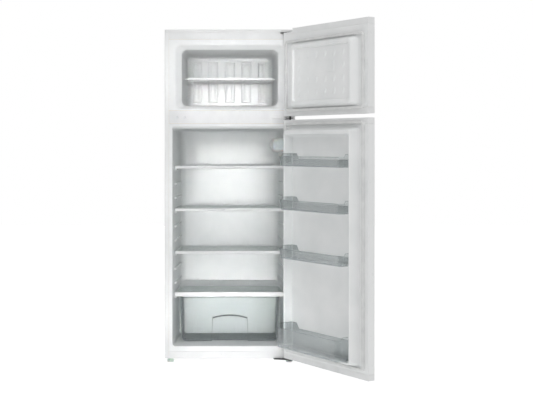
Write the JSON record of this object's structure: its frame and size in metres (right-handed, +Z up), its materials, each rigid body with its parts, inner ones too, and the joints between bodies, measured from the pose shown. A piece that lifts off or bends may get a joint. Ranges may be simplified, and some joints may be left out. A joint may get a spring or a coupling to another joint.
{
  "type": "top freezer refrigerator",
  "caption": "Upright white refrigerator with a freezer above and a fridge below, both doors open on right hinges, glass shelves, clear crisper drawer and clear door racks.",
  "frame": {"origin": "middle of the footprint of the whole refrigerator as it stands with its doors open, on the floor", "axes": "+Z up along the height, +X to the right seen from the front, +Y from the front to the back"},
  "size_m": [0.831, 0.9838, 1.42],
  "materials": {
    "white_enamel": "gloss enamel",
    "white_plastic": "satin moulded",
    "white_liner": "satin vacuum formed",
    "clear_plastic": "clear moulded",
    "clear_glass": "clear",
    "gasket_rubber": "matte",
    "foam": "foamed",
    "black_enamel": "satin enamel",
    "black_plastic": "matte moulded",
    "galvanised": "zinc coated",
    "aluminium": "rolled",
    "copper": "drawn",
    "milky_plastic": "translucent"
  },
  "bodies": {
    "cabinet": {"left_side_panel": "white_enamel", "right_side_panel": "white_enamel", "back_panel": "galvanised", "top_cover": "white_plastic", "top_front_rail": "white_plastic", "mullion_cover": "white_plastic", "front_bottom_beam": "white_enamel", "bottom_panel": "galvanised", "cabinet_foam": "foam", "freezer_liner": "white_liner", "fridge_liner": "white_liner", "evaporator_plate": "aluminium", "compressor": "black_enamel", "compressor_tray": "galvanised", "relay_cover": "black_plastic", "cord_gland": "black_plastic", "filter_drier": "copper", "drip_tray": "black_plastic", "condenser": "black_enamel", "left_condenser_bracket": "black_enamel", "right_condenser_bracket": "black_enamel", "left_rear_foot": "black_plastic", "right_rear_foot": "black_plastic", "top_hinge": "black_enamel", "middle_hinge": "black_enamel", "bottom_hinge": "black_enamel", "left_screw_cap": "white_plastic", "right_screw_cap": "white_plastic", "thermostat_housing": "white_plastic", "lamp_cover": "milky_plastic"},
    "fridge_door": {"fridge_door_skin": "white_enamel", "fridge_door_top_cap": "white_plastic", "fridge_door_bottom_cap": "white_plastic", "fridge_door_foam": "foam", "fridge_door_liner": "white_liner", "fridge_door_gasket": "gasket_rubber"},
    "freezer_door": {"freezer_door_skin": "white_enamel", "freezer_door_top_cap": "white_plastic", "freezer_door_bottom_cap": "white_plastic", "freezer_door_foam": "foam", "freezer_door_liner": "white_liner", "freezer_door_gasket": "gasket_rubber"},
    "door_rack_1": {"door_rack_1": "clear_plastic"},
    "door_rack_2": {"door_rack_2": "clear_plastic"},
    "door_rack_3": {"door_rack_3": "clear_plastic"},
    "bottle_rack": {"bottle_rack": "clear_plastic"},
    "shelf_1": {"shelf_1_frame": "white_plastic", "shelf_1_glass": "clear_glass"},
    "shelf_2": {"shelf_2_frame": "white_plastic", "shelf_2_glass": "clear_glass"},
    "shelf_3": {"shelf_3_frame": "white_plastic", "shelf_3_glass": "clear_glass"},
    "drawer_lid": {"drawer_lid_frame": "white_plastic", "drawer_lid_glass": "clear_glass"},
    "freezer_shelf": {"freezer_shelf": "white_plastic"},
    "crisper_drawer": {"crisper_drawer": "clear_plastic"},
    "thermostat_knob": {"thermostat_knob": "white_plastic"},
    "left_front_foot": {"left_front_foot": "milky_plastic"},
    "right_front_foot": {"right_front_foot": "milky_plastic"}
  },
  "joints": [
    {"name": "fridge_door_hinge", "type": "hinge", "parent": "cabinet", "child": "fridge_door", "pos_m": [0.11732, -0.03311, 0.53], "axis": [0, 0, 1], "range_deg": [-122.5, 12.5]},
    {"name": "freezer_door_hinge", "type": "hinge", "parent": "cabinet", "child": "freezer_door", "pos_m": [0.11732, -0.03311, 1.234], "axis": [0, 0, 1], "range_deg": [-122.5, 12.5]},
    {"name": "shelf_1_slide", "type": "slide", "parent": "cabinet", "child": "shelf_1", "axis": [0, -1, 0], "range_m": [0, 0.085]},
    {"name": "shelf_2_slide", "type": "slide", "parent": "cabinet", "child": "shelf_2", "axis": [0, -1, 0], "range_m": [0, 0.085]},
    {"name": "shelf_3_slide", "type": "slide", "parent": "cabinet", "child": "shelf_3", "axis": [0, -1, 0], "range_m": [0, 0.085]},
    {"name": "drawer_lid_slide", "type": "slide", "parent": "cabinet", "child": "drawer_lid", "axis": [0, -1, 0], "range_m": [0, 0.085]},
    {"name": "crisper_drawer_slide", "type": "slide", "parent": "cabinet", "child": "crisper_drawer", "axis": [0, -1, 0], "range_m": [0, 0.15]},
    {"name": "freezer_shelf_slide", "type": "slide", "parent": "cabinet", "child": "freezer_shelf", "axis": [0, -1, 0], "range_m": [0, 0.25]},
    {"name": "door_rack_1_lift", "type": "slide", "parent": "fridge_door", "child": "door_rack_1", "axis": [0, 0, 1], "range_m": [0, 0.03]},
    {"name": "door_rack_2_lift", "type": "slide", "parent": "fridge_door", "child": "door_rack_2", "axis": [0, 0, 1], "range_m": [0, 0.03]},
    {"name": "door_rack_3_lift", "type": "slide", "parent": "fridge_door", "child": "door_rack_3", "axis": [0, 0, 1], "range_m": [0, 0.03]},
    {"name": "bottle_rack_lift", "type": "slide", "parent": "fridge_door", "child": "bottle_rack", "axis": [0, 0, 1], "range_m": [0, 0.03]},
    {"name": "thermostat_knob_turn", "type": "hinge", "parent": "cabinet", "child": "thermostat_knob", "pos_m": [0.04487, 0.17189, 0.93], "axis": [-1, 0, 0], "range_deg": [0, 270]},
    {"name": "left_front_foot_turn", "type": "hinge", "parent": "cabinet", "child": "left_front_foot", "pos_m": [-0.39168, 0.02789, 0], "axis": [0, 0, 1], "continuous": true},
    {"name": "right_front_foot_turn", "type": "hinge", "parent": "cabinet", "child": "right_front_foot", "pos_m": [0.11632, 0.02789, 0], "axis": [0, 0, 1], "continuous": true}
  ]
}
